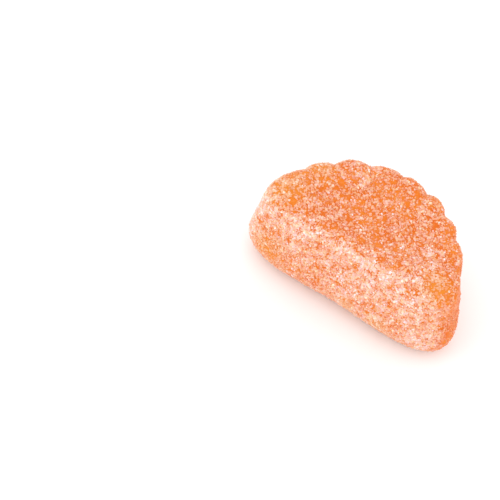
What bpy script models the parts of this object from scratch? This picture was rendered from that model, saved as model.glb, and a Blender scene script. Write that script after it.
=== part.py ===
"""Orange slice candy: one starch-moulded orange jelly in the form of a half slice, sanded with sugar.

The straight cut side runs along X and faces -Y, the scalloped rind side bows towards +Y, and the
candy rests on its flat base at z = 0 with its dished, segmented face up. The origin is under the
middle of its bounding box. Lengths are metres and angles are radians.
"""

import math
import random

import bmesh
import bpy
from mathutils import Matrix, Vector

MM = 0.001

# The widest girth, low on the wall, seen from above: a superellipse half for the rind side and a
# flatter one for the cut side, which meet on the line where the two ends are widest.
LENGTH = 41.25 * MM  # along the straight side; the sugar makes it 41.5 mm
RIND_REACH = 18.1 * MM  # from the end line out to the rind side
CUT_REACH = 6.5 * MM  # from the end line out to the cut side
CUT_HOLLOW = 1.25 * MM  # how far the middle of the cut side lies back
RIND_POWER = 1.77
CUT_POWER = 2.61

# The wall, from the base edge up to the crest of the rim
HEIGHT = 17.3 * MM
GIRTH_HEIGHT = 5.1 * MM
BASE_INSETS = (4.3 * MM, 4.3 * MM, 4.8 * MM)  # girth to base edge, at the ends, rind and cut
END_LEAN = 0.175  # how much the walls lean in towards the top, at the two ends
RIND_LEAN = 0.105
CUT_LEAN = 0.19
WALL_EASE = 6  # how soon above the girth the wall has its full lean
WAIST = 0.3 * MM  # how far the wall of the +X end dips in between the girth and the rim
END_RIM = (3.5 * MM, 1.4 * MM)  # width and drop of the rim's outer rounding at the two ends
RIND_RIM = (1.8 * MM, 1.4 * MM)
CUT_RIM = (1.5 * MM, 1.4 * MM)

# The dished top: a superellipse bowl that meets the crest of the rim. The whole top falls towards
# the cut side, from the bowl's middle on.
CUT_FALL = 1.0 * MM
FALL_REACH = 7.0 * MM  # the fall is full this far in front of the bowl's middle
DISH_DEPTH = 1.5 * MM
DISH_MIDDLE = Vector((0.4 * MM, 11.5 * MM))
DISH_HALF = 15.4 * MM  # from its middle to the crest at the ends
DISH_BACK = 10.2 * MM
DISH_FRONT = 6.8 * MM
DISH_CORNER = 2.0  # superellipse exponent of the bowl seen from above
DISH_POWERS = (2.6, 2.2, 1.8)  # at the ends, rind and cut; higher makes a flatter floor
DISH_EASE = 8  # how soon the bowl falls to its depth behind the crest

# The segments fan out from behind the middle of the cut side. Their notches are placed by where
# they cross the rim, from the +X corner to the -X corner, and so is each segment's own swell.
FAN_MIDDLE = Vector((0.5 * MM, 8.6 * MM))
NOTCHES_X = [x * MM for x in (17.1, 12.9, 8.9, 4.1, -1.1, -6.65, -12.3, -15.9)]
SWELLS = [x * MM for x in (0.53, 0.0, 0.25, 0.37, -0.1, 0.0, 0.49, 0.0, 0.1)]
NOTCH_DEPTH = 0.6 * MM
CORNER_NOTCH_DEPTH = 0.15 * MM  # where the corner segments meet the cut side
CORNER_NOTCH_TURN = 0.5
CORNER_NOTCH_WIDTH = 0.45
NOTCH_FOOT = 0.35  # share of the depth that is left at the girth
CREASE_DEPTH = 0.4 * MM
CREASE_POWER = 2.2  # how fast the creases fade from the rim to the fan's middle
CREASE_START = 0.35  # sine of the turn from which the creases are full

# Coarse sugar
GRAINS = 210
GRAIN_SIZES = (0.55 * MM, 0.85 * MM)
GRAIN_SPACING = 2.6 * MM
GRAIN_SINK = 0.18  # share of its size by which a grain's middle lies under the skin
GRAIN_CLEARANCE = 0.9 * MM  # no grain's middle is nearer to the base plane
SEED = 7

# How finely the jelly is divided
SEGMENT_STEPS = 7
CUT_STEPS = 26
BASE_STEPS = 4
WALL_STEPS = 4
RIM_STEPS = 4
DISH_STEPS = 8
WELD = 0.001 * MM


def blend(turn, at_ends, at_rind, at_cut):
    """A value that changes smoothly from the ends to the rind side or the cut side."""
    share = math.sin(turn) ** 2
    return at_ends * (1 - share) + (at_rind if math.sin(turn) > 0 else at_cut) * share


def plan_point(turn, inset):
    """The outline seen from above, moved in by the inset; turn 0 is the +X end, pi / 2 the rind."""
    across, along = math.cos(turn), math.sin(turn)
    power = RIND_POWER if along >= 0 else CUT_POWER
    reach = (RIND_REACH if along >= 0 else CUT_REACH) - inset
    x = math.copysign(abs(across) ** (2 / power), across) * (LENGTH / 2 - inset)
    y = CUT_REACH + math.copysign(abs(along) ** (2 / power), along) * reach
    if along < 0:
        y += CUT_HOLLOW * along**2 * math.cos(math.pi * x / LENGTH) ** 2
    return Vector((x, y))


def wall_section(turn):
    """(inset, height) pairs of the wall at this turn, from the base edge up to the rim's crest."""
    lean = blend(turn, END_LEAN, RIND_LEAN, CUT_LEAN)
    width = blend(turn, END_RIM[0], RIND_RIM[0], CUT_RIM[0])
    drop = blend(turn, END_RIM[1], RIND_RIM[1], CUT_RIM[1])
    waist = WAIST * max(math.cos(turn), 0) ** 2
    foot = blend(turn, *BASE_INSETS)
    section = []
    for step in range(BASE_STEPS + 1):
        angle = math.pi / 2 * step / BASE_STEPS
        inset = foot * (1 - math.sin(angle))
        section.append((inset, GIRTH_HEIGHT * (1 - math.cos(angle))))
    start = math.atan(lean * drop / width)  # where the rounding leans as the wall does
    rise = HEIGHT - drop * (1 - math.sin(start)) - GIRTH_HEIGHT
    for step in range(1, WALL_STEPS + 1):
        climb = step / WALL_STEPS
        lean_in = lean * rise * climb * (1 - (1 - climb) ** WALL_EASE)
        dip = waist * math.sin(math.pi * climb) ** 2
        section.append((lean_in + dip, GIRTH_HEIGHT + rise * climb))
    for step in range(1, RIM_STEPS + 1):
        angle = start + (math.pi / 2 - start) * step / RIM_STEPS
        inset = lean * rise + width * (math.cos(start) - math.cos(angle))
        section.append((inset, HEIGHT - drop * (1 - math.sin(angle))))
    return section


def notch_turns():
    """(turn, depth) of each notch, from the +X corner round the rind side to the -X corner."""
    rim_half = LENGTH / 2 - END_LEAN * (HEIGHT - GIRTH_HEIGHT)
    turns = [(-CORNER_NOTCH_TURN, CORNER_NOTCH_DEPTH)]
    for x in NOTCHES_X:
        across = math.copysign((abs(x) / rim_half) ** (RIND_POWER / 2), x)
        turns.append((math.acos(across), NOTCH_DEPTH))
    turns.append((math.pi + CORNER_NOTCH_TURN, CORNER_NOTCH_DEPTH))
    return turns


def flute(turn, notches):
    """(notch, swell): how far the wall lies in at the notches and bulges out between them."""
    for (start, before), (end, after), swell in zip(notches, notches[1:], SWELLS):
        if start <= turn <= end:
            share = (turn - start) / (end - start)
            bow = math.sin(math.pi * share)
            return (before * (1 - share) + after * share) * (1 - bow) ** 1.4, swell * bow**2
    gap = min(abs(turn - notches[-1][0]), abs(turn - math.tau - notches[0][0]))
    return CORNER_NOTCH_DEPTH * max(0.0, 1 - gap / CORNER_NOTCH_WIDTH) ** 2, 0.0


def ring_turns(notches):
    """The turns at which the surface has points: even steps in each segment and on the cut side."""
    turns = []
    for (start, _), (end, _) in zip(notches, notches[1:]):
        turns += [start + (end - start) * k / SEGMENT_STEPS for k in range(SEGMENT_STEPS)]
    start = notches[-1][0]
    end = notches[0][0] + math.tau
    turns += [start + (end - start) * k / CUT_STEPS for k in range(CUT_STEPS)]
    return turns


def crease(turn, notch):
    """How deep the rim's crest is creased at this turn: only round the rind side."""
    return CREASE_DEPTH * notch / NOTCH_DEPTH * min(max(math.sin(turn) / CREASE_START, 0), 1)


def fall(flat):
    """How far the top falls towards the cut side at this place seen from above."""
    return CUT_FALL * max((DISH_MIDDLE.y - flat.y) / FALL_REACH, 0) ** 2


def wall_points(turn, notches):
    """The wall's points at this turn, from the base edge up to the rim's crest."""
    notch, swell = flute(turn, notches)
    points = []
    for inset, height in wall_section(turn):
        low = min(height / GIRTH_HEIGHT, 1)
        upper = max(height - GIRTH_HEIGHT, 0) / (HEIGHT - GIRTH_HEIGHT)
        share = low**2 * (NOTCH_FOOT + (1 - NOTCH_FOOT) * upper)
        flat = plan_point(turn, inset + (notch - swell) * share)
        sink = crease(turn, notch) * upper**8 + fall(flat) * upper**2
        points.append(Vector((flat.x, flat.y, height - sink)))
    return points


def dish_sink(flat):
    """How far the dished top lies below the rim's crest at this place seen from above."""
    off = flat - DISH_MIDDLE
    deep = DISH_BACK if off.y > 0 else DISH_FRONT
    across, along = off.x / DISH_HALF, off.y / deep
    spread = abs(across) ** DISH_CORNER + abs(along) ** DISH_CORNER
    reach = min(spread ** (1 / DISH_CORNER), 1)
    power = blend(math.atan2(along, across), *DISH_POWERS)
    return DISH_DEPTH * 0.5 * (1 + math.cos(math.pi * reach**power))


def dish_points(turn, crest, notches):
    """The dished top's points at this turn, from the rim's crest in to the fan's middle."""
    deep = crease(turn, flute(turn, notches)[0])
    points = []
    for step in range(1, DISH_STEPS + 1):
        reach = 1 - step / DISH_STEPS
        flat = FAN_MIDDLE.lerp(crest.xy, reach)
        bowl = dish_sink(flat) * (1 - reach**DISH_EASE)
        sink = bowl + deep * reach**CREASE_POWER + fall(flat)
        points.append(Vector((flat.x, flat.y, HEIGHT - sink)))
    return points


def jelly_mesh():
    """The moulded jelly: a grid wrapped round the candy, from the base edge to the fan's middle."""
    notches = notch_turns()
    columns = []
    for turn in ring_turns(notches):
        wall = wall_points(turn, notches)
        columns.append(wall + dish_points(turn, wall[-1], notches))

    form = bmesh.new()
    around, levels = len(columns), len(columns[0]) - 1
    bmesh.ops.create_grid(form, x_segments=around, y_segments=levels, size=0.5)
    for vertex in form.verts:
        column = columns[round((vertex.co.x + 0.5) * around) % around]
        vertex.co = column[round((vertex.co.y + 0.5) * levels)]
    bmesh.ops.remove_doubles(form, verts=form.verts, dist=WELD)
    bmesh.ops.holes_fill(form, edges=form.edges)
    bmesh.ops.triangulate(form, faces=form.faces)
    bmesh.ops.recalc_face_normals(form, faces=form.faces)

    low = min(vertex.co.y for vertex in form.verts)
    high = max(vertex.co.y for vertex in form.verts)
    bmesh.ops.translate(form, verts=form.verts, vec=(0, -(low + high) / 2, 0))
    return form


def grain_places(form, chance):
    """Evenly spread (point, normal) pairs on the skin, clear of the base."""
    faces = [face for face in form.faces if face.calc_center_median().z > GRAIN_CLEARANCE]
    areas = [face.calc_area() for face in faces]
    places = []
    for face in chance.choices(faces, weights=areas, k=60 * GRAINS):
        corners = [vertex.co for vertex in face.verts]
        a, b = sorted((chance.random(), chance.random()))
        point = corners[0] * a + corners[1] * (b - a) + corners[2] * (1 - b)
        if point.z < GRAIN_CLEARANCE:
            continue
        if all((point - other).length > GRAIN_SPACING for other, _ in places):
            places.append((point, face.normal.copy()))
        if len(places) == GRAINS:
            break
    return places


def add_grain(collection, number, point, normal, chance):
    """One sugar crystal, a short block with its own size and turn, half sunk in the skin."""
    size = chance.uniform(*GRAIN_SIZES)
    sides = (size, size * chance.uniform(0.7, 1.0), size * chance.uniform(0.6, 0.9))
    form = bmesh.new()
    bmesh.ops.create_cube(form, size=1)
    bmesh.ops.scale(form, verts=form.verts, vec=sides)
    spin = Matrix.Rotation(chance.uniform(0, math.tau), 4, Vector(chance.choices((-1, 1, 0.4), k=3)))
    bmesh.ops.rotate(form, verts=form.verts, matrix=spin, cent=(0, 0, 0))
    bmesh.ops.translate(form, verts=form.verts, vec=point - normal * size * GRAIN_SINK)
    mesh = bpy.data.meshes.new(f"grain_{number:03}")
    form.to_mesh(mesh)
    form.free()
    grain = bpy.data.objects.new(mesh.name, mesh)
    collection.objects.link(grain)


def fuse(body, collection):
    """Joins the collection's solids to the body with one union, then removes them."""
    union = body.modifiers.new("sugar", "BOOLEAN")
    union.operation = "UNION"
    union.operand_type = "COLLECTION"
    union.collection = collection
    union.solver = "EXACT"
    graph = bpy.context.evaluated_depsgraph_get()
    joined = bpy.data.meshes.new_from_object(body.evaluated_get(graph))
    body.modifiers.clear()
    body.data = joined
    for grain in list(collection.objects):
        bpy.data.objects.remove(grain)
    bpy.data.collections.remove(collection)


def keep_largest_body(mesh):
    """Drops any loose scrap, so that one closed body is left."""
    form = bmesh.new()
    form.from_mesh(mesh)
    unseen = set(form.verts)
    bodies = []
    while unseen:
        frontier = [unseen.pop()]
        body = set(frontier)
        while frontier:
            vertex = frontier.pop()
            for edge in vertex.link_edges:
                other = edge.other_vert(vertex)
                if other in unseen:
                    unseen.remove(other)
                    body.add(other)
                    frontier.append(other)
        bodies.append(body)
    largest = max(bodies, key=len)
    scraps = [vertex for vertex in form.verts if vertex not in largest]
    bmesh.ops.delete(form, geom=scraps, context="VERTS")
    form.to_mesh(mesh)
    form.free()


def sugared_jelly():
    """Translucent orange jelly under a haze of sugar: a soft, pale orange."""
    material = bpy.data.materials.new("sugared_jelly")
    material.use_nodes = True
    shader = material.node_tree.nodes["Principled BSDF"]
    shader.inputs["Base Color"].default_value = (0.95, 0.31, 0.11, 1)
    shader.inputs["Roughness"].default_value = 0.6
    shader.inputs["Metallic"].default_value = 0.0
    return material


def main():
    for old in list(bpy.data.objects):
        bpy.data.objects.remove(old, do_unlink=True)
    candy = bpy.data.collections.new("orange_slice_candy")
    bpy.context.scene.collection.children.link(candy)
    sugar = bpy.data.collections.new("sugar_grains")
    bpy.context.scene.collection.children.link(sugar)

    form = jelly_mesh()
    form.normal_update()
    chance = random.Random(SEED)
    places = grain_places(form, chance)
    mesh = bpy.data.meshes.new("orange_slice")
    form.to_mesh(mesh)
    form.free()
    body = bpy.data.objects.new("orange_slice", mesh)
    candy.objects.link(body)
    for number, (point, normal) in enumerate(places):
        add_grain(sugar, number, point, normal, chance)
    fuse(body, sugar)
    keep_largest_body(body.data)
    body.data.materials.clear()
    body.data.materials.append(sugared_jelly())
    body.data.shade_smooth()
    body.data.set_sharp_from_angle(angle=math.radians(35))


main()
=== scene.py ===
"""Orange slice candy: a starch-moulded orange jelly in the form of a half slice, sanded with sugar.

The candy rests on its base at z = 0 with its dished, segmented face up. The straight cut side runs
along X and faces -Y. Lengths are metres, angles are radians, unless a name says otherwise.
"""

import logging
import math
from dataclasses import dataclass, field
from enum import Enum
from typing import Any

import bmesh
import bpy
import numpy as np
from mathutils import Matrix, Vector, noise

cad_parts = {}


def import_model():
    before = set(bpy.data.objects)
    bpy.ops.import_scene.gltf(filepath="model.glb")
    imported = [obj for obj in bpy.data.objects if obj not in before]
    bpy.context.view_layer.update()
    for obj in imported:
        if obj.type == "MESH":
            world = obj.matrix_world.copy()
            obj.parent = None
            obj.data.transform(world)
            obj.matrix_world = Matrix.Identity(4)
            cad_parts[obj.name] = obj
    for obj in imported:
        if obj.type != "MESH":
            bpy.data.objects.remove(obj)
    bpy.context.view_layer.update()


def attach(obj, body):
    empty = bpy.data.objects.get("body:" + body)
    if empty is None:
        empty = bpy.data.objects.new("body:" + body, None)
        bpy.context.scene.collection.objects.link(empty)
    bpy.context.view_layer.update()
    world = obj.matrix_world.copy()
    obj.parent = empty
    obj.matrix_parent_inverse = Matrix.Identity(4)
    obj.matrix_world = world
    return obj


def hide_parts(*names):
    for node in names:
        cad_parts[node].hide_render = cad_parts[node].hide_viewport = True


MM = 0.001
NODE = "orange_slice"
BODY = "root"
TINT = "tint"

# The corners where the jelly's and the sugar's colours are painted lighter and yellower, as painted glow of
# light coming through the jelly: x, y, z and radius
PAINTED_GLOW_CORNERS_MM = (
    (-16.0, -5.0, 16.6, 6.3),
    (-14.8, -11.0, 6.4, 6.0),
    (15.6, -7.0, 16.5, 4.2),
    (-13.4, 1.7, 17.2, 3.9),
    (2.4, -11.5, 4.5, 3.0),
    (9.0, -11.4, 4.5, 3.6),
)
PAINTED_GLOW_MOST = 0.75  # how far the colours turn to their painted glow colours in the middle of a corner

# Blender's numbers for the sockets of a Mix node of colours
SHARE, FIRST, SECOND, MIXED = 0, 6, 7, 2

# Fractal noise: how much weaker each finer octave is, as a power, and how many times finer
OCTAVE_FALL = 1.0
OCTAVE_RATIO = 2.0

log = logging.getLogger("orange_slice")


def linear(hex_code: str) -> tuple[float, float, float, float]:
    """Turns an sRGB hex colour into linear light.

    Args:
        hex_code: Six hex digits, with or without a leading #.

    Returns:
        Red, green, blue and an alpha of 1.
    """
    digits = hex_code.lstrip("#")
    shares = [int(digits[at : at + 2], 16) / 255 for at in (0, 2, 4)]
    light = [s / 12.92 if s <= 0.04045 else ((s + 0.055) / 1.055) ** 2.4 for s in shares]
    return (light[0], light[1], light[2], 1.0)


def add_node(
    tree: bpy.types.NodeTree,
    kind: str,
    settings: dict[str, Any] | None = None,
    inputs: dict[str | int, Any] | None = None,
) -> bpy.types.Node:
    """Adds a node to a tree, with its settings, values and links.

    Args:
        tree: The node tree that takes it.
        kind: Blender's name for the kind of node.
        settings: The node's own properties by name.
        inputs: What goes into each socket, by name or place: a value, or the output to link.

    Returns:
        The new node.
    """
    node = tree.nodes.new(kind)
    for name, value in (settings or {}).items():
        setattr(node, name, value)
    for socket, value in (inputs or {}).items():
        if isinstance(value, bpy.types.NodeSocket):
            tree.links.new(value, node.inputs[socket])
        else:
            node.inputs[socket].default_value = value
    return node


def set_ramp(node: bpy.types.Node, stops: tuple[tuple[float, str], ...]) -> None:
    """Sets the stops of a colour ramp.

    Args:
        node: The Color Ramp node.
        stops: (place, sRGB hex colour) of each stop, from low to high.
    """
    elements = node.color_ramp.elements
    while len(elements) < len(stops):
        elements.new(1.0)
    for element, (place, colour) in zip(elements, stops):
        element.position = place
        element.color = linear(colour)


def new_material(name: str) -> tuple[bpy.types.Material, bpy.types.NodeTree]:
    """Makes an empty node material.

    Args:
        name: The material's name.

    Returns:
        The material and its node tree.
    """
    material = bpy.data.materials.new(name)
    material.use_nodes = True
    material.node_tree.nodes.clear()
    return material, material.node_tree


def add_piece(mesh: bpy.types.Mesh, finish: bpy.types.Material) -> bpy.types.Object:
    """Dresses a mesh and puts it in the scene, at the origin and under its own name.

    Args:
        mesh: The piece's mesh, with its place in it.
        finish: The material all over it.

    Returns:
        The new object.
    """
    mesh.materials.append(finish)
    piece = bpy.data.objects.new(mesh.name, mesh)
    bpy.context.scene.collection.objects.link(piece)
    return piece


def painted_glow_mask(tree: bpy.types.NodeTree, spots_mm: tuple[tuple[float, ...], ...]) -> bpy.types.NodeSocket:
    """Adds the nodes that mark the corners with the painted glow of light coming through the jelly.

    Args:
        tree: The node tree that takes them.
        spots_mm: x, y, z and radius of each corner.

    Returns:
        The output that is PAINTED_GLOW_MOST in the middle of a corner and falls to 0 at its radius.
    """
    place = add_node(tree, "ShaderNodeTexCoord").outputs["Object"]
    mask: bpy.types.NodeSocket | float = 0.0
    for *middle, radius in spots_mm:
        spot = Vector(middle) * MM
        far = add_node(tree, "ShaderNodeVectorMath", {"operation": "DISTANCE"}, {0: place, 1: spot})
        near = add_node(
            tree,
            "ShaderNodeMapRange",
            {"interpolation_type": "SMOOTHSTEP"},
            {"Value": far.outputs["Value"], "From Max": radius * MM, "To Min": PAINTED_GLOW_MOST, "To Max": 0.0},
        )
        most = {0: mask, 1: near.outputs["Result"]}
        mask = add_node(tree, "ShaderNodeMath", {"operation": "MAXIMUM"}, most).outputs["Value"]
    return mask


@dataclass(frozen=True)
class StarchJelly:
    """Finish of the candy's flesh: orange starch jelly, cooked, poured into starch moulds and steamed.

    It is a translucent deep orange with a soft lustre, clouded a little paler and deeper. At a few
    corners its colour is painted lighter and yellower, as painted glow of light coming through the
    jelly. What shows between the crystals wears a thin dust of broken sugar, which makes it a paler,
    pinker orange in patches.
    """

    name: str = "starch_jelly_orange"
    deep: str = "#DD690F"
    warm: str = "#E67C17"
    # Painted glow: the lighter, yellower colour painted at the corners where light comes through the jelly
    painted_glow_colour: str = "#E58C26"
    dusted: str = "#EB9F65"
    cloud_mm: float = 3.5  # how wide a paler or deeper cloud in the jelly is
    cloud_stops: tuple[float, float] = (0.38, 0.62)  # where in the noise it is deep, and warm
    cloud_detail: float = 3.0
    dust_mm: float = 0.45  # how wide a patch of sugar dust is
    dust_stops: tuple[float, float] = (0.45, 0.7)  # where in the noise there is none, and most
    dust_most: float = 0.32  # share of the jelly that the thickest dust hides
    dust_detail: float = 4.0
    dust_raggedness: float = 0.65
    grit: float = 0.5  # strength of the dust's relief
    grit_height: float = 0.08 * MM
    roughness: float = 0.42
    ior: float = 1.48  # a strong sugar syrup
    lustre: float = 0.22
    glow: float = 0.18  # share of the light that passes through the jelly
    glow_depth: float = 1.2 * MM
    glow_reach: tuple[float, float, float] = (1.0, 0.4, 0.12)  # red light goes furthest

    def make(self) -> bpy.types.Material:
        """Builds the material.

        Returns:
            The finished material.
        """
        material, tree = new_material(self.name)
        place = add_node(tree, "ShaderNodeTexCoord").outputs["Object"]
        clouds = add_node(
            tree,
            "ShaderNodeTexNoise",
            inputs={"Vector": place, "Scale": 1 / (self.cloud_mm * MM), "Detail": self.cloud_detail},
        )
        flesh = add_node(tree, "ShaderNodeValToRGB", inputs={"Fac": clouds.outputs["Fac"]})
        set_ramp(flesh, tuple(zip(self.cloud_stops, (self.deep, self.warm))))
        # Painted glow: the flesh colour is painted lighter and yellower at the glow corners
        painted_glow_flesh = add_node(
            tree,
            "ShaderNodeMix",
            {"data_type": "RGBA"},
            {
                SHARE: painted_glow_mask(tree, PAINTED_GLOW_CORNERS_MM),
                FIRST: flesh.outputs["Color"],
                SECOND: linear(self.painted_glow_colour),
            },
        )
        dust = add_node(
            tree,
            "ShaderNodeTexNoise",
            inputs={
                "Vector": place,
                "Scale": 1 / (self.dust_mm * MM),
                "Detail": self.dust_detail,
                "Roughness": self.dust_raggedness,
            },
        )
        cover = add_node(
            tree,
            "ShaderNodeMapRange",
            inputs={
                "Value": dust.outputs["Fac"],
                "From Min": self.dust_stops[0],
                "From Max": self.dust_stops[1],
                "To Max": self.dust_most,
            },
        )
        skin = add_node(
            tree,
            "ShaderNodeMix",
            {"data_type": "RGBA"},
            {
                SHARE: cover.outputs["Result"],
                FIRST: painted_glow_flesh.outputs[MIXED],
                SECOND: linear(self.dusted),
            },
        )
        grit = add_node(
            tree,
            "ShaderNodeBump",
            inputs={"Height": dust.outputs["Fac"], "Strength": self.grit, "Distance": self.grit_height},
        )
        shader = add_node(
            tree,
            "ShaderNodeBsdfPrincipled",
            inputs={
                "Base Color": skin.outputs[MIXED],
                "Roughness": self.roughness,
                "IOR": self.ior,
                "Specular IOR Level": self.lustre,
                "Subsurface Weight": self.glow,
                "Subsurface Radius": self.glow_reach,
                "Subsurface Scale": self.glow_depth,
                "Normal": grit.outputs["Normal"],
            },
        )
        add_node(tree, "ShaderNodeOutputMaterial", inputs={"Surface": shader.outputs["BSDF"]})
        return material


@dataclass(frozen=True)
class CrystalSugar:
    """Finish of the sanding: granulated cane sugar, steamed onto the jelly while it was still tacky.

    Each crystal is clear and colourless, so over the jelly it takes a tint between peach and white,
    by how thick it is and how much jelly shines through it. It also leans to rose or to honey. Over
    the glow corners it is painted honey most of all, as painted glow of light coming through the
    jelly. Its flat faces catch the light, and the whitest crystals are painted whiter still, as
    painted glints.
    """

    name: str = "sugar_crystal_white"
    tints: tuple[tuple[float, str], ...] = (
        (0.0, "#E89464"),
        (0.35, "#EEB396"),
        (0.7, "#F1D0C5"),
        (1.0, "#F3EAEE"),
    )  # from a crystal with the jelly shining through it to a white one
    rose: str = "#FFF5F8"
    # Honey is also the painted glow colour of the crystals over the glow corners
    honey: str = "#FFFFE0"
    hue_mm: float = 0.5  # how wide a patch of one hue is: a crystal or two
    hue_stops: tuple[float, float] = (0.42, 0.64)  # where in the noise it is rose, and honey
    hue_detail: float = 1.0
    roughness: float = 0.27
    ior: float = 1.54  # sucrose

    def make(self) -> bpy.types.Material:
        """Builds the material.

        Returns:
            The finished material.
        """
        material, tree = new_material(self.name)
        tint = add_node(tree, "ShaderNodeAttribute", {"attribute_name": TINT})
        ramp = add_node(tree, "ShaderNodeValToRGB", inputs={"Fac": tint.outputs["Fac"]})
        set_ramp(ramp, self.tints)
        place = add_node(tree, "ShaderNodeTexCoord").outputs["Object"]
        patches = add_node(
            tree,
            "ShaderNodeTexNoise",
            inputs={"Vector": place, "Scale": 1 / (self.hue_mm * MM), "Detail": self.hue_detail},
        )
        hue = add_node(tree, "ShaderNodeValToRGB", inputs={"Fac": patches.outputs["Fac"]})
        set_ramp(hue, tuple(zip(self.hue_stops, (self.rose, self.honey))))
        # Painted glow: over the glow corners the crystals' hue is painted honey
        hue_and_painted_glow = add_node(
            tree,
            "ShaderNodeMix",
            {"data_type": "RGBA"},
            {
                SHARE: painted_glow_mask(tree, PAINTED_GLOW_CORNERS_MM),
                FIRST: hue.outputs["Color"],
                SECOND: linear(self.honey),
            },
        )
        # The crystal's colour: the tint ramp times its hue, with the painted glow in it
        crystal_colour_with_painted_glow = add_node(
            tree,
            "ShaderNodeMix",
            {"data_type": "RGBA", "blend_type": "MULTIPLY"},
            {SHARE: 1.0, FIRST: ramp.outputs["Color"], SECOND: hue_and_painted_glow.outputs[MIXED]},
        )
        shader = add_node(
            tree,
            "ShaderNodeBsdfPrincipled",
            inputs={"Base Color": crystal_colour_with_painted_glow.outputs[MIXED], "Roughness": self.roughness, "IOR": self.ior},
        )
        add_node(tree, "ShaderNodeOutputMaterial", inputs={"Surface": shader.outputs["BSDF"]})
        return material


@dataclass(frozen=True)
class MattPaint:
    """Finish of the studio floor: plain pale matt paint."""

    name: str = "matt_paint_white"
    colour: str = "#FCFCFC"
    roughness: float = 0.9

    def make(self) -> bpy.types.Material:
        """Builds the material.

        Returns:
            The finished material.
        """
        material, tree = new_material(self.name)
        shader = add_node(
            tree,
            "ShaderNodeBsdfPrincipled",
            inputs={
                "Base Color": linear(self.colour),
                "Roughness": self.roughness,
                "Specular IOR Level": 0.0,
            },
        )
        add_node(tree, "ShaderNodeOutputMaterial", inputs={"Surface": shader.outputs["BSDF"]})
        return material


@dataclass(frozen=True)
class Sides:
    """One size of the form at the two ends, at the middle of the rind side and of the cut side."""

    ends: float
    rind: float
    cut: float

    def at(self, turn: float) -> float:
        """The size at this turn round the candy, blended smoothly from side to side."""
        share = math.sin(turn) ** 2
        return self.ends * (1 - share) + (self.rind if math.sin(turn) > 0 else self.cut) * share


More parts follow.
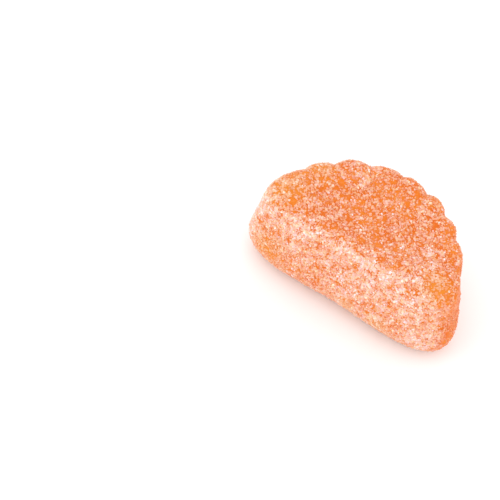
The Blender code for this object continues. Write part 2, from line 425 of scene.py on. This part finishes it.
@dataclass
class MouldedJelly:
    """The jelly itself: the half slice as it comes out of its mould.

    The outline is a superellipse half for the rind side and a flatter one for the cut side. The wall
    rounds up from the base to its widest girth, leans in to the rim, and the rim rounds over into a
    shallow bowl. Notches part the segments on the rind side and run on as creases over the rim.
    Turn 0 is the +X end and pi / 2 the middle of the rind side.
    """

    # The widest girth, seen from above
    length: float = 41.25 * MM  # along the cut side
    rind_reach: float = 18.1 * MM  # from the line between the two ends out to the rind side
    cut_reach: float = 6.5 * MM  # from the same line out to the cut side
    cut_hollow: float = 1.25 * MM  # how far the middle of the cut side lies back
    rind_power: float = 1.77  # exponent of the superellipse
    cut_power: float = 2.61

    # The wall, from the base edge up to the crest of the rim
    height: float = 17.3 * MM
    girth_height: float = 5.1 * MM
    base_inset: Sides = Sides(4.3 * MM, 4.3 * MM, 4.8 * MM)  # from the girth to the base edge
    waist: float = 0.3 * MM  # how far the +X end's wall dips in between the girth and the rim
    lean: Sides = Sides(0.175, 0.105, 0.19)  # how much the walls lean in towards the top
    wall_ease: int = 6  # how soon above the girth the wall has its full lean
    rim_width: Sides = Sides(3.5 * MM, 1.8 * MM, 1.5 * MM)  # of the rim's outer rounding
    rim_drop: Sides = Sides(1.4 * MM, 1.4 * MM, 1.4 * MM)

    # The dished top
    cut_fall: float = 1.0 * MM  # how far the top falls towards the cut side
    fall_reach: float = 7.0 * MM  # the fall is full this far in front of the bowl's middle
    dish_depth: float = 1.5 * MM
    dish_middle: Vector = field(default_factory=lambda: Vector((0.4 * MM, 11.5 * MM)))
    dish_half: float = 15.4 * MM  # from its middle to the crest at the ends
    dish_back: float = 10.2 * MM
    dish_front: float = 6.8 * MM
    dish_corner: float = 2.0  # exponent of its superellipse seen from above
    dish_power: Sides = Sides(2.6, 2.2, 1.8)  # higher makes a flatter floor
    dish_ease: int = 8  # how soon the bowl falls to its depth behind the crest

    # The segments, from the +X corner to the -X corner: where their notches cross the rim, and
    # how far each segment swells between two of them
    fan_middle: Vector = field(default_factory=lambda: Vector((0.5 * MM, 8.6 * MM)))
    notches_mm: tuple[float, ...] = (17.1, 12.9, 8.9, 4.1, -1.1, -6.65, -12.3, -15.9)
    swells_mm: tuple[float, ...] = (0.53, 0.0, 0.25, 0.37, -0.1, 0.0, 0.49, 0.0, 0.1)
    notch_depth: float = 0.6 * MM
    notch_power: float = 1.4  # higher makes a narrower notch
    corner_notch_depth: float = 0.15 * MM  # where the corner segments meet the cut side
    corner_notch_turn: float = 0.5
    corner_notch_width: float = 0.45
    notch_foot: float = 0.35  # share of a notch's depth that is left at the girth
    crease_depth: float = 0.4 * MM
    crease_rise: int = 8  # how soon under the crest a notch turns into its crease
    crease_power: float = 2.2  # how fast the creases fade from the rim to the fan's middle
    crease_start: float = 0.35  # sine of the turn from which the creases are full

    # The skin's fine relief, which is full above the foot
    foot_height: float = 1.0 * MM
    coat_under: float = 0.12 * MM  # the base stands on crystals that are this thick
    lump_depth: float = 0.07 * MM
    lump_width: float = 3.0 * MM
    lump_octaves: int = 3
    pit_depth: float = 0.03 * MM
    pit_width: float = 0.8 * MM

    # How finely the jelly is divided
    segment_steps: int = 36
    cut_steps: int = 120
    base_steps: int = 14
    wall_steps: int = 34
    rim_steps: int = 16
    dish_steps: int = 56
    weld: float = 0.001 * MM
    notches: list[tuple[float, float]] = field(init=False)  # turn and depth of each notch

    def __post_init__(self) -> None:
        """Works out where the notches are."""
        rim_half = self.length / 2 - self.lean.ends * (self.height - self.girth_height)
        self.notches = [(-self.corner_notch_turn, self.corner_notch_depth)]
        for x in self.notches_mm:
            across = math.copysign((abs(x) * MM / rim_half) ** (self.rind_power / 2), x)
            self.notches.append((math.acos(across), self.notch_depth))
        self.notches.append((math.pi + self.corner_notch_turn, self.corner_notch_depth))

    def outline(self, turn: float, inset: float) -> Vector:
        """A point of the outline seen from above.

        Args:
            turn: Where round the candy.
            inset: How far it is moved in from the widest girth.

        Returns:
            The point's x and y.
        """
        across, along = math.cos(turn), math.sin(turn)
        power = self.rind_power if along >= 0 else self.cut_power
        reach = (self.rind_reach if along >= 0 else self.cut_reach) - inset
        x = math.copysign(abs(across) ** (2 / power), across) * (self.length / 2 - inset)
        y = self.cut_reach + math.copysign(abs(along) ** (2 / power), along) * reach
        if along < 0:
            y += self.cut_hollow * along**2 * math.cos(math.pi * x / self.length) ** 2
        return Vector((x, y))

    def section(self, turn: float) -> list[tuple[float, float]]:
        """The wall's section at this turn.

        Args:
            turn: Where round the candy.

        Returns:
            (inset, height) pairs from the base edge up to the crest of the rim.
        """
        lean, width, drop = self.lean.at(turn), self.rim_width.at(turn), self.rim_drop.at(turn)
        waist = self.waist * max(math.cos(turn), 0) ** 2
        foot = self.base_inset.at(turn)
        pairs = []
        for step in range(self.base_steps + 1):
            angle = math.pi / 2 * step / self.base_steps
            inset = foot * (1 - math.sin(angle))
            pairs.append((inset, self.girth_height * (1 - math.cos(angle))))
        start = math.atan(lean * drop / width)
        rise = self.height - drop * (1 - math.sin(start)) - self.girth_height
        for step in range(1, self.wall_steps + 1):
            climb = step / self.wall_steps
            lean_in = lean * rise * climb * (1 - (1 - climb) ** self.wall_ease)
            dip = waist * math.sin(math.pi * climb) ** 2
            pairs.append((lean_in + dip, self.girth_height + rise * climb))
        for step in range(1, self.rim_steps + 1):
            angle = start + (math.pi / 2 - start) * step / self.rim_steps
            inset = lean * rise + width * (math.cos(start) - math.cos(angle))
            pairs.append((inset, self.height - drop * (1 - math.sin(angle))))
        return pairs

    def flute(self, turn: float) -> tuple[float, float]:
        """How the notches and segments shape the wall at this turn.

        Args:
            turn: Where round the candy.

        Returns:
            How far the wall lies in for a notch, and how far it bulges out for a segment.
        """
        for (start, before), (end, after), swell in zip(self.notches, self.notches[1:], self.swells_mm):
            if start <= turn <= end:
                share = (turn - start) / (end - start)
                bow = math.sin(math.pi * share)
                depth = before * (1 - share) + after * share
                return depth * (1 - bow) ** self.notch_power, swell * MM * bow**2
        gap = min(abs(turn - self.notches[-1][0]), abs(turn - math.tau - self.notches[0][0]))
        return self.corner_notch_depth * max(0.0, 1 - gap / self.corner_notch_width) ** 2, 0.0

    def crease(self, turn: float, notch: float) -> float:
        """How deep the crest of the rim is creased at this turn: only round the rind side."""
        start = min(max(math.sin(turn) / self.crease_start, 0), 1)
        return self.crease_depth * notch / self.notch_depth * start

    def fall(self, flat: Vector) -> float:
        """How far the top falls towards the cut side at this place seen from above."""
        return self.cut_fall * max((self.dish_middle.y - flat.y) / self.fall_reach, 0) ** 2

    def dish_sink(self, flat: Vector) -> float:
        """How far the bowl lies below the crest of the rim.

        Args:
            flat: The place, seen from above.

        Returns:
            The depth there.
        """
        off = flat - self.dish_middle
        across = off.x / self.dish_half
        along = off.y / (self.dish_back if off.y > 0 else self.dish_front)
        spread = abs(across) ** self.dish_corner + abs(along) ** self.dish_corner
        reach = min(spread ** (1 / self.dish_corner), 1)
        power = self.dish_power.at(math.atan2(along, across))
        return self.dish_depth * 0.5 * (1 + math.cos(math.pi * reach**power))

    def column(self, turn: float) -> list[Vector]:
        """The surface's points at this turn.

        Args:
            turn: Where round the candy.

        Returns:
            The points from the base edge up the wall, over the rim and in to the fan's middle.
        """
        notch, swell = self.flute(turn)
        crease = self.crease(turn, notch)
        points = []
        for inset, height in self.section(turn):
            low = min(height / self.girth_height, 1)
            upper = max(height - self.girth_height, 0) / (self.height - self.girth_height)
            share = low**2 * (self.notch_foot + (1 - self.notch_foot) * upper)
            flat = self.outline(turn, inset + (notch - swell) * share)
            sink = crease * upper**self.crease_rise + self.fall(flat) * upper**2
            points.append(Vector((flat.x, flat.y, height - sink)))
        crest = points[-1].xy
        for step in range(1, self.dish_steps + 1):
            reach = 1 - step / self.dish_steps
            flat = self.fan_middle.lerp(crest, reach)
            bowl = self.dish_sink(flat) * (1 - reach**self.dish_ease)
            sink = bowl + crease * reach**self.crease_power + self.fall(flat)
            points.append(Vector((flat.x, flat.y, self.height - sink)))
        return points

    def turns(self) -> list[float]:
        """The turns at which the surface has points.

        Returns:
            Even steps in each segment and along the cut side, once round the candy.
        """
        ends = [turn for turn, _ in self.notches] + [self.notches[0][0] + math.tau]
        steps = [self.segment_steps] * (len(self.notches) - 1) + [self.cut_steps]
        return [
            start + (end - start) * k / count
            for start, end, count in zip(ends, ends[1:], steps)
            for k in range(count)
        ]

    def form(self) -> bmesh.types.BMesh:
        """Wraps a grid round the candy, closes its seam, pole and base, and gives it its fine relief.

        Returns:
            The jelly's mesh, centred on its bounding box over z = 0.
        """
        columns = [self.column(turn) for turn in self.turns()]
        around, levels = len(columns), len(columns[0]) - 1
        half = 0.5  # of the grid's side
        form = bmesh.new()
        bmesh.ops.create_grid(form, x_segments=around, y_segments=levels, size=half)
        for vertex in form.verts:
            column = columns[round((vertex.co.x + half) * around) % around]
            vertex.co = column[round((vertex.co.y + half) * levels)]
        bmesh.ops.remove_doubles(form, verts=form.verts, dist=self.weld)
        bmesh.ops.holes_fill(form, edges=form.edges)
        bmesh.ops.recalc_face_normals(form, faces=form.faces)
        middle_y = (min(v.co.y for v in form.verts) + max(v.co.y for v in form.verts)) / 2
        bmesh.ops.translate(form, verts=form.verts, vec=(0, -middle_y, 0))
        self.add_relief(form)
        return form

    def add_relief(self, form: bmesh.types.BMesh) -> None:
        """Gives the skin the slight lumps of the starch mould, and lifts the base onto its crystals.

        Args:
            form: The jelly's mesh.
        """
        form.normal_update()
        moves = []
        for vertex in form.verts:
            coarse = noise.fractal(vertex.co / self.lump_width, OCTAVE_FALL, OCTAVE_RATIO, self.lump_octaves)
            fine = noise.noise(vertex.co / self.pit_width)
            climb = vertex.co.z / self.foot_height
            relief = vertex.normal * (coarse * self.lump_depth + fine * self.pit_depth) * min(climb, 1)
            moves.append(relief + Vector((0, 0, self.coat_under * max(1 - climb, 0))))
        for vertex, move in zip(form.verts, moves):
            vertex.co += move

    def build(self, finish: bpy.types.Material) -> tuple[bpy.types.Object, "Skin"]:
        """Makes the jelly's object and what the sugar needs to know of its skin.

        Args:
            finish: The jelly's material.

        Returns:
            The object, and its skin for the sugar to stick to.
        """
        form = self.form()
        bmesh.ops.triangulate(form, faces=form.faces)
        mesh = bpy.data.meshes.new("jelly")
        form.to_mesh(mesh)
        form.free()
        mesh.shade_smooth()
        return add_piece(mesh, finish), Skin.of(mesh)


@dataclass
class Skin:
    """The jelly's skin as flat triangles, for placing crystals on it."""

    corners: np.ndarray
    normals: np.ndarray
    areas: np.ndarray

    @classmethod
    def of(cls, mesh: bpy.types.Mesh) -> "Skin":
        """Reads the triangles of a mesh.

        Args:
            mesh: A mesh of triangles.

        Returns:
            Its skin.
        """
        places = np.empty(len(mesh.vertices) * 3)
        mesh.vertices.foreach_get("co", places)
        loops = np.empty(len(mesh.loops), dtype=np.int64)
        mesh.loops.foreach_get("vertex_index", loops)
        corners = places.reshape(-1, 3)[loops].reshape(-1, 3, 3)
        crossed = np.cross(corners[:, 1] - corners[:, 0], corners[:, 2] - corners[:, 0])
        doubled = np.linalg.norm(crossed, axis=1)
        least = 1e-15  # keeps a triangle that has no area from dividing by nothing
        return cls(corners, crossed / np.maximum(doubled, least)[:, None], doubled / 2)

    def scatter(
        self, count: int, weights: np.ndarray, chance: np.random.Generator
    ) -> tuple[np.ndarray, np.ndarray]:
        """Picks random places on the skin.

        Args:
            count: How many places.
            weights: How dense the places are, for each triangle.
            chance: The seeded source of random numbers.

        Returns:
            The points, and which triangle each lies on.
        """
        share = self.areas * weights
        picked = chance.choice(len(share), count, p=share / share.sum())
        a, b = np.sort(chance.random((2, count)), axis=0)[:, :, None]
        corners = self.corners[picked]
        return corners[:, 0] * a + corners[:, 1] * (b - a) + corners[:, 2] * (1 - b), picked


@dataclass
class Coat:
    """The coat of sugar, as it lies on each triangle of the skin."""

    layers: np.ndarray  # how thick it is
    whiteness: np.ndarray  # the mean tint of the crystals
    spread: np.ndarray  # the standard deviation of their tint


@dataclass(frozen=True)
class Cover:
    """How much sugar lies on each side of the candy, in layers.

    One layer is as many crystals as would cover the skin if they lay side by side. The candy was
    tumbled, so the ridge between the cut side and the top, the cut side and the -X end have picked
    up the most. The +X end and a few spots were rubbed nearly bare.
    """

    top: float = 0.585
    base: float = 0.55
    cut: float = 1.12
    rind: float = 0.6
    low_end: float = 1.6  # at -X
    high_end: float = 0.3  # at +X
    ridge: float = 1.4  # what lies on the ridge besides
    ridge_mm: tuple[float, float] = (-9.2, 15.5)  # y and z of the ridge's middle
    ridge_width: float = 0.85 * MM
    ridge_bend: float = 8.7 * MM  # from here towards +X it follows the rim of the bowl
    ridge_slope: tuple[float, float] = (0.54, 0.15)  # how fast y and z rise past the bend
    ridge_ends: tuple[float, float] = (-10.0 * MM, 12.5 * MM)  # it thins out beyond these
    ridge_fade: float = 3.5 * MM
    clouds: float = 0.4  # how strongly the coat varies from one wide patch to the next
    cloud_width: float = 5.0 * MM
    clumps: float = 1.25  # and from one small clump to the next
    clump_width: float = 1.15 * MM
    patch_octaves: int = 2
    patch_limits: tuple[float, float] = (0.1, 3.0)  # least and most of a patch, against the mean
    clumps_beside: float = 0.92  # power of the clumps at the sides and the base
    clumps_above: float = 0.45  # added to it on the top, where the tumbling tore the coat open
    spots_mm: tuple[tuple[float, float, float, float, float], ...] = (
        (16.9, -6.6, 16.5, 2.4, 0.28),  # where it was rubbed
        (16.0, -0.4, 16.6, 2.2, 0.6),
        (19.6, -4.5, 10.0, 4.5, 0.45),
        (12.0, -11.4, 6.6, 2.5, 0.65),
        (1.2, -10.0, 12.4, 2.4, 0.55),
        (-4.2, -11.7, 4.4, 3.5, 0.5),
        (-10.5, -11.7, 4.6, 3.8, 0.6),
        (-15.4, -10.7, 7.2, 3.7, 0.45),
        (-7.6, -10.3, 12.4, 2.6, 0.8),
        (1.4, -3.9, 15.8, 2.2, 0.35),
        (2.4, 2.0, 15.7, 2.6, 0.5),
        (8.5, -4.5, 16.2, 2.2, 0.6),
        (11.7, 3.8, 17.2, 2.4, 0.45),
        (2.0, 6.7, 16.9, 3.0, 0.55),
        (-4.4, 0.2, 15.8, 2.6, 0.65),
        (-18.3, -7.4, 15.2, 3.0, 1.9),  # where it dug into the sugar
        (-18.9, -9.7, 7.0, 2.4, 2.0),
        (-13.5, -10.5, 12.5, 3.5, 1.25),
        (-9.8, 5.1, 17.2, 2.8, 2.1),
        (7.0, -1.6, 15.9, 2.5, 1.4),
        (13.2, -2.6, 17.0, 3.0, 2.0),
        (-3.4, -10.9, 8.6, 3.4, 1.3),
        (4.8, -10.1, 12.0, 2.4, 1.4),
        (10.0, -10.0, 13.0, 3.0, 1.5),
        (17.0, -9.5, 10.8, 3.0, 1.6),
        (17.2, -10.5, 4.7, 2.8, 2.2),
        (18.2, -8.4, 10.6, 2.8, 1.4),
        (12.4, -9.6, 15.2, 1.8, 1.35),
        (0.4, -10.9, 8.3, 2.2, 1.35),
        (-9.2, -11.3, 8.3, 2.4, 1.3),
        (-9.0, -0.4, 16.3, 2.6, 1.4),
        (-4.5, 4.8, 16.3, 2.2, 1.4),
        (-5.3, -4.4, 16.1, 2.4, 1.35),
    )  # x, y, z, radius, and the share of the sugar that is there
    tint: float = 0.131  # of a lone crystal, where 0 is the jelly shining through and 1 is white
    tint_gain: float = 0.26  # for each layer of sugar round it
    tint_layers: float = 2.0  # more layers than these make it no whiter
    tint_spread: float = 0.19  # standard deviation from one crystal to the next
    x_facing_tint_drop: float = 0.4  # how much less white the crystals' tint is where the skin faces +X
    alike_ends: float = 0.35  # share of the spread that is gone at both ends
    alike_in_painted_glow: float = 0.3  # and in the corners with the painted glow

    def lay(self, skin: Skin) -> Coat:
        """Works out the coat of sugar on the skin.

        Args:
            skin: The jelly's skin.

        Returns:
            The coat.
        """
        middles = skin.corners.mean(axis=1)
        layers = self.layers(skin, middles)
        # The crystals' tint is less white where the skin faces +X
        x_facing_tint_drop = self.x_facing_tint_drop * np.maximum(skin.normals[:, 0], 0) ** 2
        whiteness = self.tint + self.tint_gain * np.minimum(layers, self.tint_layers) - x_facing_tint_drop
        return Coat(layers, whiteness, self.spreads(skin, middles))

    def layers(self, skin: Skin, middles: np.ndarray) -> np.ndarray:
        """How many layers of sugar lie on each triangle.

        Args:
            skin: The jelly's skin.
            middles: The triangles' middles.

        Returns:
            The layers on each triangle.
        """
        out = skin.normals > 0
        sides = np.where(out, (self.high_end, self.rind, self.top), (self.low_end, self.cut, self.base))
        layers = (skin.normals**2 * sides).sum(axis=1)
        layers *= self.patches(middles, self.clouds, self.cloud_width)
        bent = np.maximum(middles[:, :1] - self.ridge_bend, 0) * self.ridge_slope
        ridge = np.array(self.ridge_mm) * MM + bent
        off = np.linalg.norm(middles[:, 1:] - ridge, axis=1) / self.ridge_width
        past = (middles[:, 0] - np.clip(middles[:, 0], *self.ridge_ends)) / self.ridge_fade
        clumps = self.patches(middles, self.clumps, self.clump_width)
        power = self.clumps_beside + self.clumps_above * np.maximum(skin.normals[:, 2], 0) ** 2
        layers = layers * clumps**power + self.ridge * np.exp(-(off**2) - past**2) * np.sqrt(clumps)
        for x, y, z, radius, share in self.spots_mm:
            gaps = np.linalg.norm(middles / MM - (x, y, z), axis=1) / radius
            layers *= 1 + (share - 1) * np.exp(-(gaps**2))
        return layers

    def patches(self, places: np.ndarray, strength: float, width: float) -> np.ndarray:
        """How much more or less sugar lies at each place than on average.

        Args:
            places: Points on the skin.
            strength: How strongly it varies.
            width: How wide a patch is.

        Returns:
            The share of the average at each place.
        """
        grain = [
            noise.fractal(Vector(place) / width, OCTAVE_FALL, OCTAVE_RATIO, self.patch_octaves)
            for place in places
        ]
        return np.clip(1 + strength * np.array(grain), *self.patch_limits)

    def spreads(self, skin: Skin, middles: np.ndarray) -> np.ndarray:
        """How much the tints of neighbouring crystals differ on each triangle.

        Args:
            skin: The jelly's skin.
            middles: The triangles' middles.

        Returns:
            The standard deviation of the tint on each triangle.
        """
        alike = self.alike_ends * skin.normals[:, 0] ** 2
        for x, y, z, radius in PAINTED_GLOW_CORNERS_MM:
            gaps = np.linalg.norm(middles / MM - (x, y, z), axis=1) / radius
            alike = np.maximum(alike, self.alike_in_painted_glow * np.sqrt(np.clip(1 - gaps, 0, 1)))
        return self.tint_spread * (1 - alike)


class Habit(Enum):
    """How a sugar crystal is worn or broken: how many cuts it has, and how far out they pass."""

    BLOCK = (3, 0.42)  # whole, with worn corners
    WORN = (1, 0.4)  # whole, with one worn corner
    SHARD = (2, 0.3)  # broken across
    CRUMB = (0, 0.0)  # a crumb, too fine for its corners to show


@dataclass
class Sanding:
    """One grade of sugar on the candy, all its crystals joined in one mesh."""

    name: str
    share: float  # of the sugar's layers
    sizes: tuple[float, float]  # from the smallest to the largest crystal
    gap: float  # least distance between two crystals' middles
    habits: tuple[Habit, ...]
    sink: float  # share of a crystal's size by which its middle lies under the skin
    tilt: float  # how far a crystal stands off the skin at most
    seed: int
    kinds_each: int = 6  # how many different crystals there are of a habit
    breadths: tuple[float, float] = (0.7, 0.95)  # of a crystal, as shares of its length
    depths: tuple[float, float] = (0.5, 0.8)
    slants: tuple[float, float] = (0.5, 1.0)  # parts of x, y and z in the way that a cut faces
    cut_play: tuple[float, float] = (0.9, 1.15)  # how much the cuts vary
    size_skew: float = 1.5  # above 1, small crystals outnumber large ones
    footprint: float = 0.75  # what a crystal covers, as a share of its size squared
    tries: int = 3  # places drawn for each crystal, as many lie too near to another
    painted_glint: float = 1.1  # how much whiter the whitest crystals are painted, as painted glints of facets catching the light
    painted_glint_from: float = 1.3  # from how many standard deviations of the tint the painted glints start
    floor: float = 0.0  # no crystal reaches below this height

    def crystal(self, habit: Habit, chance: np.random.Generator) -> tuple[np.ndarray, np.ndarray]:
        """Makes one crystal of a size of 1.

        Args:
            habit: How it is worn or broken.
            chance: The seeded source of random numbers.

        Returns:
            Its vertices and its triangles.
        """
        form = bmesh.new()
        bmesh.ops.create_cube(form, size=1)
        sides = (1, chance.uniform(*self.breadths), chance.uniform(*self.depths))
        bmesh.ops.scale(form, vec=sides, verts=form.verts)
        cuts, reach = habit.value
        for _ in range(cuts):
            way = Vector(chance.choice((-1, 1), 3) * chance.uniform(*self.slants, 3)).normalized()
            bmesh.ops.bisect_plane(
                form,
                geom=[*form.verts, *form.edges, *form.faces],
                plane_co=way * reach * chance.uniform(*self.cut_play),
                plane_no=way,
                clear_outer=True,
            )
            bmesh.ops.holes_fill(form, edges=form.edges)
        bmesh.ops.triangulate(form, faces=form.faces)
        bmesh.ops.recalc_face_normals(form, faces=form.faces)
        form.verts.index_update()
        places = np.array([vertex.co[:] for vertex in form.verts])
        triangles = np.array([[vertex.index for vertex in face.verts] for face in form.faces])
        form.free()
        return places, triangles

    def places(
        self, skin: Skin, layers: np.ndarray, taken: list[np.ndarray], chance: np.random.Generator
    ) -> tuple[np.ndarray, np.ndarray]:
        """Picks the places of the crystals, none nearer than the gap to another.

        Args:
            skin: The jelly's skin.
            layers: How many layers of sugar lie on each triangle.
            taken: Places of the crystals that are already there; the new ones are added.
            chance: The seeded source of random numbers.

        Returns:
            The crystals' points, and which triangle each lies on.
        """
        mean_size = sum(self.sizes) / 2
        count = round(self.share * (skin.areas * layers).sum() / (self.footprint * mean_size**2))
        points, picked = skin.scatter(count * self.tries, layers, chance)
        grid: dict[tuple[int, ...], list[np.ndarray]] = {}
        for place in taken:
            grid.setdefault(tuple(np.floor(place / self.gap).astype(int)), []).append(place)
        kept = []
        keys = np.floor(points / self.gap).astype(int).tolist()
        ways = [(x, y, z) for x in (-1, 0, 1) for y in (-1, 0, 1) for z in (-1, 0, 1)]
        for at, (point, (x, y, z)) in enumerate(zip(points, keys)):
            near = [place for dx, dy, dz in ways for place in grid.get((x + dx, y + dy, z + dz), ())]
            if not near or ((np.array(near) - point) ** 2).sum(axis=1).min() > self.gap**2:
                kept.append(at)
                grid.setdefault((x, y, z), []).append(point)
            if len(kept) == count:
                break
        taken.extend(points[kept])
        return points[kept], picked[kept]

    def build(
        self, skin: Skin, coat: Coat, taken: list[np.ndarray], finish: bpy.types.Material
    ) -> bpy.types.Object:
        """Sets all crystals of this grade on the skin and joins them in one mesh.

        Args:
            skin: The jelly's skin.
            coat: How the sugar lies on it.
            taken: Places of the crystals that are already there; the new ones are added.
            finish: The sugar's material.

        Returns:
            The finished piece.
        """
        chance = np.random.default_rng(self.seed)
        kinds = [self.crystal(habit, chance) for habit in self.habits for _ in range(self.kinds_each)]
        points, picked = self.places(skin, coat.layers, taken, chance)
        normals = skin.normals[picked]
        count = len(points)
        sizes = self.sizes[0] + (self.sizes[1] - self.sizes[0]) * chance.random(count) ** self.size_skew
        luck = chance.normal(size=count)  # in standard deviations of the tint
        # Painted glints: the crystals furthest out in the tint are painted whiter still
        luck += self.painted_glint * np.maximum(luck - self.painted_glint_from, 0)
        tints = np.clip(coat.whiteness[picked] + luck * coat.spread[picked], 0, 1)
        kind_of = chance.integers(len(kinds), size=count)
        tilts = chance.random(count) * self.tilt
        spins, sways = chance.random((2, count)) * math.tau
        all_places, all_triangles, all_tints, start = [], [], [], 0
        for at in range(count):
            verts, triangles = kinds[kind_of[at]]
            stand = Vector(normals[at]).to_track_quat("Z", "Y").to_matrix()
            lean_axis = Vector((math.cos(sways[at]), math.sin(sways[at]), 0))
            turn = stand @ Matrix.Rotation(tilts[at], 3, lean_axis) @ Matrix.Rotation(spins[at], 3, "Z")
            placed = verts * sizes[at] @ np.array(turn).T + points[at] - normals[at] * sizes[at] * self.sink
            low = placed[:, 2].min()
            if low < self.floor:
                placed[:, 2] += self.floor - low
            all_places.append(placed)
            all_triangles.append(triangles + start)
            all_tints.append(np.full(len(verts), tints[at]))
            start += len(verts)
        mesh = bpy.data.meshes.new(self.name)
        mesh.from_pydata(np.concatenate(all_places), [], np.concatenate(all_triangles))
        layer = mesh.attributes.new(TINT, "FLOAT", "POINT")
        layer.data.foreach_set("value", np.concatenate(all_tints).astype(np.float32))
        return add_piece(mesh, finish)


@dataclass
class Candy:
    """The whole candy: the jelly and its four grades of sugar."""

    jelly: MouldedJelly = field(default_factory=MouldedJelly)
    cover: Cover = Cover()
    sandings: tuple[Sanding, ...] = (
        Sanding(
            "sugar_coarse",
            share=0.24,
            sizes=(0.37 * MM, 0.58 * MM),
            gap=0.34 * MM,
            habits=(Habit.BLOCK, Habit.SHARD),
            sink=0.1,
            tilt=0.6,
            seed=11,
        ),
        Sanding(
            "sugar_medium",
            share=0.30,
            sizes=(0.28 * MM, 0.41 * MM),
            gap=0.22 * MM,
            habits=(Habit.WORN,),
            sink=0.08,
            tilt=0.8,
            seed=12,
        ),
        Sanding(
            "sugar_broken",
            share=0.30,
            sizes=(0.24 * MM, 0.37 * MM),
            gap=0.17 * MM,
            habits=(Habit.SHARD,),
            sink=0.05,
            tilt=1.2,
            seed=13,
        ),
        Sanding(
            "sugar_fine",
            share=0.16,
            sizes=(0.14 * MM, 0.22 * MM),
            gap=0.12 * MM,
            habits=(Habit.CRUMB,),
            sink=0.0,
            tilt=1.5,
            seed=14,
        ),
    )

    def build(self) -> list[bpy.types.Object]:
        """Builds and dresses the candy's pieces, and sets them on their body.

        Returns:
            The pieces.
        """
        body, skin = self.jelly.build(StarchJelly().make())
        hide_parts(NODE)
        sugar = CrystalSugar().make()
        coat = self.cover.lay(skin)
        taken: list[np.ndarray] = []
        pieces = [body]
        for grade in self.sandings:
            pieces.append(grade.build(skin, coat, taken, sugar))
        for piece in pieces:
            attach(piece, BODY)
        return pieces


@dataclass
class Studio:
    """A white floor under a white sky, with a soft light to the left and a weaker one to the right."""

    floor_size: float = 4.0
    sky_colour: str = "#FFFFFF"
    sky: float = 1.2  # strength of the sky's light
    lamp_size: float = 0.22
    lamp_distance: float = 0.35  # from the candy
    lamps: tuple[tuple[str, float, tuple[float, float, float]], ...] = (
        ("soft_key", 0.14, (-0.55, -0.66, 0.50)),
        ("soft_fill", 0.09, (0.85, -0.1, 0.35)),
    )  # name, watts, and the way towards it

    def build(self) -> bpy.types.Object:
        """Makes the floor, the sky and the lights.

        Returns:
            The floor, which isn't part of the candy.
        """
        form = bmesh.new()
        bmesh.ops.create_grid(form, x_segments=1, y_segments=1, size=self.floor_size / 2)
        mesh = bpy.data.meshes.new("floor")
        form.to_mesh(mesh)
        form.free()
        floor = add_piece(mesh, MattPaint().make())

        world = bpy.data.worlds.new("white_sky")
        world.use_nodes = True
        background = world.node_tree.nodes["Background"].inputs
        background["Color"].default_value = linear(self.sky_colour)
        background["Strength"].default_value = self.sky
        bpy.context.scene.world = world

        for name, power, way in self.lamps:
            lamp = bpy.data.lights.new(name, "AREA")
            lamp.energy = power
            lamp.size = self.lamp_size
            light = bpy.data.objects.new(name, lamp)
            light.location = Vector(way).normalized() * self.lamp_distance
            light.rotation_mode = "QUATERNION"
            light.rotation_quaternion = Vector(way).to_track_quat("Z", "Y")
            bpy.context.scene.collection.objects.link(light)
        bpy.context.scene.view_settings.view_transform = "Standard"
        return floor


@dataclass
class Viewpoint:
    """The camera, which looks steeply down on the candy from in front of its cut side and to the right."""

    azimuth: float = math.radians(27.789)
    elevation: float = math.radians(54.879)
    roll: float = math.radians(8.432)
    distance: float = 248.1 * MM
    aim: Vector = field(default_factory=lambda: Vector((-0.10 * MM, 0.24 * MM, 8.28 * MM)))
    aim_right: float = 21.62 * MM  # how far right of the picture's middle the aim lies
    aim_up: float = 1.50 * MM
    lens: float = 100.8  # in millimetres
    nearest: float = 10 * MM

    def build(self) -> bpy.types.Object:
        """Makes the camera.

        Returns:
            The camera object.
        """
        back = Vector(
            (
                math.sin(self.azimuth) * math.cos(self.elevation),
                -math.cos(self.azimuth) * math.cos(self.elevation),
                math.sin(self.elevation),
            )
        )
        level = Vector((math.cos(self.azimuth), math.sin(self.azimuth), 0))
        right = Matrix.Rotation(self.roll, 3, back) @ level
        up = back.cross(right)
        lens = bpy.data.cameras.new("camera")
        lens.lens = self.lens
        lens.clip_start = self.nearest
        camera = bpy.data.objects.new("camera", lens)
        turn = Matrix((right, up, back)).transposed().to_4x4()
        place = self.aim + back * self.distance - right * self.aim_right - up * self.aim_up
        camera.matrix_world = Matrix.Translation(place) @ turn
        bpy.context.scene.collection.objects.link(camera)
        bpy.context.scene.camera = camera
        return camera


def main() -> None:
    """Builds the candy, the studio and the camera."""
    logging.basicConfig(level=logging.INFO, format="%(name)s: %(message)s")
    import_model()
    for piece in Candy().build():
        log.info("%s: %d triangles", piece.name, len(piece.data.polygons))
    Studio().build()
    Viewpoint().build()
    bpy.context.view_layer.update()


if __name__ == "__main__":
    main()
